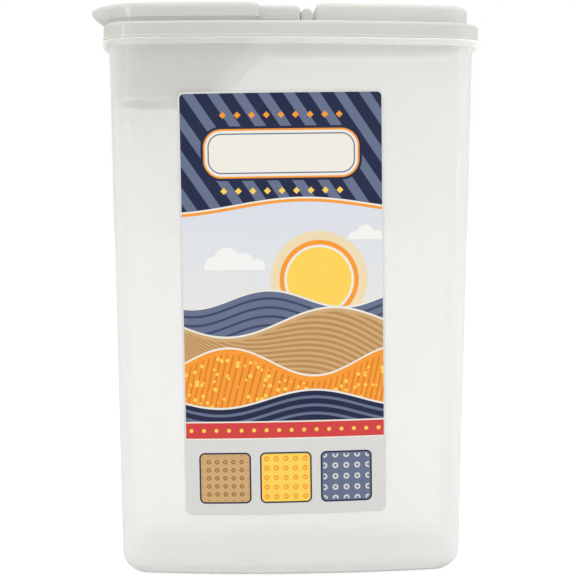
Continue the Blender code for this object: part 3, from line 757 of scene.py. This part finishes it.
lip_low = FLANGE_HEIGHT + LEDGE_RISE + SEAT_GAP
lip_top = lip_low + GRIPPER_LIP
gripper_low = FLANGE_HEIGHT - GRIPPER_DROP
gripper_out = -CONTAINER_WALL - FIT_GAP
lip_out = RIM_REACH - RIM_WALL - FIT_GAP
slant_wall = GRIPPER_WALL / sin(GRIPPER_SLANT)
soft = GRIPPER_WALL / 4
gripper_rings = []
for offset, z, limit_x in (
        (gripper_out - GRIPPER_TAPER - soft, gripper_low, slant_x(gripper_low) - soft),
        (gripper_out - GRIPPER_TAPER, gripper_low + soft, slant_x(gripper_low + soft)),
        (gripper_out, lip_low, slant_x(lip_low)),
        (lip_out - soft / 2, lip_low, slant_x(lip_low) + GRIPPER_LIP_REACH - soft / 2),
        (lip_out, lip_low + soft / 2, slant_x(lip_low) + GRIPPER_LIP_REACH),
        (lip_out, lip_top - soft / 2, slant_x(lip_low) + GRIPPER_LIP_REACH),
        (lip_out - soft / 2, lip_top, slant_x(lip_low) + GRIPPER_LIP_REACH - soft / 2),
        (gripper_out - GRIPPER_WALL + soft, lip_top, slant_x(lip_top) - slant_wall + soft),
        (gripper_out - GRIPPER_WALL, lip_top - soft, slant_x(lip_top - soft) - slant_wall),
        (gripper_out - GRIPPER_TAPER - GRIPPER_WALL, gripper_low + soft,
         slant_x(gripper_low + soft) - slant_wall),
        (gripper_out - GRIPPER_TAPER - GRIPPER_WALL + soft, gripper_low,
         slant_x(gripper_low) - slant_wall + soft)):
    gripper_rings.append(at_height(end_outline(offset, limit_x, GRIPPER_CORNER), z))
gripper = skinned("gripper_funnel", gripper_rings, closed=True)
insert_finish = moulded("insert_polypropylene", INSERT_PLASTIC, roughness=0.34, gloss=0.25,
                        through=0.24)
finished(gripper, insert_finish)
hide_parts("bag_gripper")
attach(gripper, "gripper")


# Lid: one milky moulding that snaps over the mouth rim. Behind the pour opening stand two hinge ears,
# and the storage half rises as a shallow crowned step.
HINGE_X = 0.03506 * MOUTH_LENGTH
LID_WALL = 0.0016
SKIRT_REACH = 0.0030
SKIRT_BEAD = 0.0004
SKIRT_BEAD_HEIGHT = 0.0014
RIM_HEADROOM = 0.0007
DECK_HEIGHT = FLANGE_HEIGHT + RIM_RISE + RIM_HEADROOM + LID_WALL
DECK_SHOULDER = 0.0022
SEAL_WALL = 0.0012
STEP_WIDTH = 0.0063
STORE_START_X = HINGE_X + 0.0049
STORE_RISE = 0.0101
STORE_SHOULDER = 0.0028
STORE_CROWN = 0.0010
STORE_CORNER = 0.0035
POUR_FAR_X = 0.0091 - MOUTH_LENGTH / 2
POUR_NEAR_X = HINGE_X - 0.0523
POUR_WIDTH = MOUTH_DEPTH - 0.033
POUR_CORNER = 0.012
COLLAR_WALL = 0.0014
COLLAR_DROP = 0.0050
HINGE_RISE = 0.0041
EAR_RADIUS = 0.0030
EAR_THICKNESS = 0.0050
EAR_FACE_Y = MOUTH_DEPTH / 2 - 0.0055
EAR_END_WALL = 0.0010
PIN_RADIUS = 0.0015
PIN_CLEARANCE = 0.0003
PIN_STEPS = 32
CROWN_SHARES = (0.9, 0.75, 0.55, 0.3, 0.1)
FOOT_FILLET = 0.0005
FILLET_SHARES = (0.0, 0.25, 0.5, 0.75)
JUST_BELOW = 0.0001
LID_PLASTIC = (0.805, 0.795, 0.77, 1.0)


def shouldered(outline_at, low, rise, shoulder, crown, wall_steps=1):
    """Rings of an upright wall, a round shoulder and a crowned top. outline_at(inset, z)."""
    top = low + rise
    spring = top - shoulder
    rows = []
    for i in range(wall_steps):
        z = low + (spring - low) * i / wall_steps
        rows.append(at_height(outline_at(0.0, z), z))
    for a in quarter_turn():
        z = spring + shoulder * sin(a)
        rows.append(at_height(outline_at(shoulder * (1 - cos(a)), z), z))
    inner_outline = outline_at(shoulder, top)
    for share in CROWN_SHARES:
        rows.append(drawn_in(inner_outline, share, top + crown * (1 - share ** 2)))
    return rows


def combine(piece, tool, operation):
    """Join a form to a piece, or cut it out, and put the form away."""
    step = piece.modifiers.new(tool.name, 'BOOLEAN')
    step.operation = operation
    step.solver = 'EXACT'
    step.object = tool
    seen_now = bpy.context.evaluated_depsgraph_get()
    result = bpy.data.meshes.new_from_object(piece.evaluated_get(seen_now))
    piece.modifiers.clear()
    piece.data = result
    bpy.data.objects.remove(tool, do_unlink=True)


def turned_along_y(name, x, z, radius, start_y, end_y):
    """A pin, barrel or bore lying along Y."""
    turn = [2 * pi * i / PIN_STEPS for i in range(PIN_STEPS)]
    ends = [[(x + radius * cos(a), y, z + radius * sin(a)) for a in turn] for y in (start_y, end_y)]
    return skinned(name, ends)


def store_outline(inset, z=DECK_HEIGHT + FOOT_FILLET):
    """The raised half in plan, with a small fillet where it meets the deck."""
    flare = FOOT_FILLET * min(1.0, max(0.0, 1 - (z - DECK_HEIGHT) / FOOT_FILLET)) ** 2
    offset = SKIRT_REACH - STEP_WIDTH - inset + flare
    limit = -STORE_START_X - inset + flare
    return [(-x, y) for x, y in end_outline(offset, limit, STORE_CORNER)]


def pour_outline(grow):
    """A rounded rectangle round the pour opening, grown by some."""
    radius = POUR_CORNER + grow
    inner_y = POUR_WIDTH / 2 + grow - radius
    upper = arc((POUR_NEAR_X + grow - radius, inner_y), radius, 0, pi / 2, ROUND_STEPS)
    upper += arc((POUR_FAR_X - grow + radius, inner_y), radius, pi / 2, pi, ROUND_STEPS)
    return mirrored_in_y(upper)


skirt_low = FLANGE_HEIGHT + FIT_GAP
underside = DECK_HEIGHT - LID_WALL
bead_top = skirt_low + SKIRT_BEAD_HEIGHT
bead_reach = SKIRT_REACH + SKIRT_BEAD
skirt_profile = [(SKIRT_REACH - LID_WALL, skirt_low), (bead_reach - SKIRT_BEAD / 2, skirt_low),
                 (bead_reach, skirt_low + SKIRT_BEAD / 2), (bead_reach, bead_top - SKIRT_BEAD),
                 (SKIRT_REACH, bead_top)]
for a in quarter_turn():
    skirt_profile.append((SKIRT_REACH - DECK_SHOULDER * (1 - cos(a)),
                          DECK_HEIGHT - DECK_SHOULDER * (1 - sin(a))))
lid = skinned("lid_moulding", [at_height(body_outline(offset), z) for offset, z in skirt_profile])
store_heights = [underside, DECK_HEIGHT - JUST_BELOW]
store_heights += [DECK_HEIGHT + FOOT_FILLET * share for share in FILLET_SHARES]
store_rings = [at_height(store_outline(0.0, z), z) for z in store_heights]
store_rings += shouldered(store_outline, DECK_HEIGHT + FOOT_FILLET, STORE_RISE - FOOT_FILLET,
                          STORE_SHOULDER, STORE_CROWN)
combine(lid, skinned("store_form", store_rings), 'UNION')
inside_skirt = body_outline(SKIRT_REACH - LID_WALL)
mouth_cavity = [at_height(inside_skirt, z) for z in (skirt_low - LID_WALL, underside)]
combine(lid, skinned("mouth_cavity", mouth_cavity), 'DIFFERENCE')


def store_inside(inset, _):
    """The hollow under the raised half, in plan."""
    return store_outline(inset + LID_WALL)


store_hollow = shouldered(store_inside, underside - LID_WALL, STORE_RISE + LID_WALL,
                          STORE_SHOULDER - LID_WALL / 2, STORE_CROWN)
combine(lid, skinned("store_cavity", store_hollow), 'DIFFERENCE')

# The seal wall stands inside the mouth rim, and the collar hangs round the pour opening
seal_reach = RIM_REACH - RIM_WALL - FIT_GAP
seal_low = FLANGE_HEIGHT + LEDGE_RISE + SEAT_GAP + GRIPPER_LIP + SEAT_GAP
seal_top = underside + LID_WALL / 2
seal_profile = ((seal_reach - SEAL_WALL / 2, seal_low), (seal_reach, seal_low + SEAL_WALL / 2),
                (seal_reach, seal_top), (seal_reach - SEAL_WALL, seal_top),
                (seal_reach - SEAL_WALL, seal_low + SEAL_WALL / 4))
seal_rings = [at_height(body_outline(offset), z) for offset, z in seal_profile]
combine(lid, skinned("seal_wall", seal_rings, closed=True), 'UNION')
collar_low = underside - COLLAR_DROP
collar = [at_height(pour_outline(COLLAR_WALL), z) for z in (collar_low, underside + LID_WALL / 2)]
combine(lid, skinned("collar_form", collar), 'UNION')
pour_cut = [at_height(pour_outline(0.0), collar_low - LID_WALL),
            at_height(pour_outline(0.0), DECK_HEIGHT - LID_WALL / 4),
            at_height(pour_outline(LID_WALL / 2), DECK_HEIGHT + LID_WALL / 4)]
combine(lid, skinned("pour_cut", pour_cut), 'DIFFERENCE')

# Two hinge ears, round at the top, with blind bores
hinge_z = DECK_HEIGHT + HINGE_RISE
for side in (-1, 1):
    outer_y = side * EAR_FACE_Y
    inner_y = side * (EAR_FACE_Y - EAR_THICKNESS)
    ear_low = DECK_HEIGHT - LID_WALL / 2
    ear_side = [(HINGE_X - EAR_RADIUS, ear_low), (HINGE_X + EAR_RADIUS, ear_low)]
    for i in range(2 * ROUND_STEPS + 1):
        a = pi * i / (2 * ROUND_STEPS)
        ear_side.append((HINGE_X + EAR_RADIUS * cos(a), hinge_z + EAR_RADIUS * sin(a)))
    ear = skinned("ear", [[(x, y, z) for x, z in ear_side] for y in (inner_y, outer_y)])
    combine(lid, ear, 'UNION')
    bore = turned_along_y("ear_bore", HINGE_X, hinge_z, PIN_RADIUS + PIN_CLEARANCE,
                          inner_y - side * EAR_END_WALL, outer_y - side * EAR_END_WALL)
    combine(lid, bore, 'DIFFERENCE')
lid_finish = moulded("milky_polypropylene", LID_PLASTIC, roughness=0.30, gloss=0.6, through=0.42)
finished(lid, lid_finish)
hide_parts("lid")
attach(lid, "lid")


# Flip top: the flap that covers the pour opening, of the lid's plastic. A plug ring under it closes the
# opening, its end swells into a thumb tab, and pins moulded on its knuckle snap into the lid's ears.
KNUCKLE_RADIUS = 0.0028
WEB_THICKNESS = 0.0039
PIN_END_CLEARANCE = 0.0005
FLAP_WALL = 0.0016
FLAP_END_REACH = -0.0015
FLAP_NECK_END_X = HINGE_X - 0.0037
FLAP_NECK_START_X = FLAP_NECK_END_X - 0.0221
FLAP_NECK_OVERLAP = 0.012
FLAP_NECK_LIFT = 0.0008
FLAP_NECK_RISE = 0.0087
FLAP_NECK_SHOULDER = 0.0024
FLAP_NECK_CROWN = 0.0002
FLAP_BULGE = 0.0034
FLAP_LIP_LIFT = 0.0024
FLAP_RISE = 0.0103
FLAP_SHOULDER = 0.0032
FLAP_CROWN = 0.0011
FLAP_CORNER = 0.0040
FLAP_WALL_STEPS = 8
APRON_INSET = 0.0010
APRON_LIFT = 0.0004
PLUG_WALL = 0.0012
PLUG_CLEARANCE = 0.0005
PLUG_TAPER = 0.0009
PLUG_DROP = 0.0045
TAB_REACH = 0.0122
TAB_HALF_WIDTH = MOUTH_DEPTH / 2 - 0.0095
TAB_EDGE = 0.0009
TAB_FOOT_REACH = 0.0045


flap_low = DECK_HEIGHT + FLAP_LIP_LIFT
flap_top = DECK_HEIGHT + FLAP_RISE
neck_low = DECK_HEIGHT + FLAP_NECK_LIFT
neck_rise = DECK_HEIGHT + FLAP_NECK_RISE - neck_low


def tab_reach(z):
    """How far the thumb tab stands out of the flap's end: a swollen underside, then a round edge."""
    tip = flap_top - TAB_EDGE
    if z > tip:
        return TAB_REACH - (z - tip)
    rise = max(0.0, z - flap_low) / (tip - flap_low)
    return TAB_FOOT_REACH + (TAB_REACH - TAB_FOOT_REACH) * sin(pi / 2 * rise)


def flap_outline(inset, z, wall=0.0):
    """The flap in plan, its end bowed out into the thumb tab, which has no shoulder."""
    offset = SKIRT_REACH - STEP_WIDTH + FLAP_BULGE - inset - wall
    end_offset = FLAP_END_REACH - inset - wall
    points = []
    for x, y in end_outline(offset, FLAP_NECK_START_X - inset - wall, FLAP_CORNER, end_offset):
        if x < -MOUTH_LENGTH / 4 and abs(y) < TAB_HALF_WIDTH:
            x -= (tab_reach(z) + inset) * cos(pi / 2 * y / TAB_HALF_WIDTH)
        points.append((x, y))
    return points


def neck_outline(inset, _=0.0):
    """A strip of the tub's outline between the flap and the hinge, with round corners."""
    offset = SKIRT_REACH - STEP_WIDTH - inset
    start_x = FLAP_NECK_START_X - FLAP_NECK_OVERLAP + inset
    end_x = FLAP_NECK_END_X - inset
    radius = FLAP_NECK_SHOULDER
    reach = LONG_SIDE_RADIUS + offset - radius
    corners = []
    for inner_x in (end_x - radius, start_x + radius):
        inner_y = long_centre[1] + sqrt(reach ** 2 - inner_x ** 2)
        corners.append(((inner_x, inner_y), atan2(inner_y - long_centre[1], inner_x)))
    (right, right_turn), (left, left_turn) = corners
    upper = arc(right, radius, 0, right_turn, ROUND_STEPS)
    upper += arc(long_centre, LONG_SIDE_RADIUS + offset, right_turn, left_turn, LONG_STEPS)[1:-1]
    upper += arc(left, radius, left_turn, pi, ROUND_STEPS)
    return mirrored_in_y(upper)


def flap_inside(inset, z):
    """The hollow under the flap, in plan."""
    return flap_outline(inset, z, FLAP_WALL)


def neck_inside(inset, _):
    """The hollow under the neck, in plan."""
    return neck_outline(inset + FLAP_WALL)


flap_rings = [at_height(flap_outline(APRON_INSET, z), z)
              for z in (DECK_HEIGHT + APRON_LIFT, flap_low - APRON_LIFT / 2)]
flap_rings += shouldered(flap_outline, flap_low, flap_top - flap_low, FLAP_SHOULDER, FLAP_CROWN,
                         FLAP_WALL_STEPS)
flap = skinned("flap_moulding", flap_rings)
neck_rings = shouldered(neck_outline, neck_low, neck_rise, FLAP_NECK_SHOULDER, FLAP_NECK_CROWN)
combine(flap, skinned("neck_form", neck_rings), 'UNION')
flap_hollow = shouldered(flap_inside, neck_low - FLAP_WALL, flap_top - neck_low,
                         FLAP_SHOULDER - FLAP_WALL / 2, FLAP_CROWN, FLAP_WALL_STEPS)
combine(flap, skinned("flap_cavity", flap_hollow), 'DIFFERENCE')
neck_hollow = shouldered(neck_inside, neck_low - FLAP_WALL, neck_rise,
                         FLAP_NECK_SHOULDER - FLAP_WALL / 2, FLAP_NECK_CROWN)
combine(flap, skinned("neck_cavity", neck_hollow), 'DIFFERENCE')

# The plug ring, then the knuckle with its web and pins
plug_low = DECK_HEIGHT - PLUG_DROP
plug_top = flap_top - FLAP_WALL / 2 + FLAP_CROWN / 2
plug_rings = []
for grow, z in ((-PLUG_TAPER, plug_low), (0.0, DECK_HEIGHT), (0.0, plug_top),
                (-PLUG_WALL, plug_top), (-PLUG_WALL, DECK_HEIGHT), (-PLUG_WALL - PLUG_TAPER, plug_low)):
    plug_rings.append(at_height(pour_outline(grow - PLUG_CLEARANCE), z))
combine(flap, skinned("plug_ring", plug_rings, closed=True), 'UNION')
knuckle_y = EAR_FACE_Y - EAR_THICKNESS - PIN_CLEARANCE
web_start_x = FLAP_NECK_END_X - FLAP_WALL / 2
web = [(web_start_x, hinge_z - WEB_THICKNESS / 2), (HINGE_X, hinge_z - WEB_THICKNESS / 2),
       (HINGE_X, hinge_z + WEB_THICKNESS / 2), (web_start_x, hinge_z + WEB_THICKNESS / 2)]
web_ends = [[(x, y, z) for x, z in web] for y in (-knuckle_y, knuckle_y)]
combine(flap, skinned("knuckle_web", web_ends), 'UNION')
knuckle = turned_along_y("knuckle", HINGE_X, hinge_z, KNUCKLE_RADIUS, -knuckle_y, knuckle_y)
combine(flap, knuckle, 'UNION')
pin_y = EAR_FACE_Y - EAR_END_WALL - PIN_END_CLEARANCE
combine(flap, turned_along_y("hinge_pins", HINGE_X, hinge_z, PIN_RADIUS, -pin_y, pin_y), 'UNION')
finished(flap, lid_finish)
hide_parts("flip_top")
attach(flap, "flap")
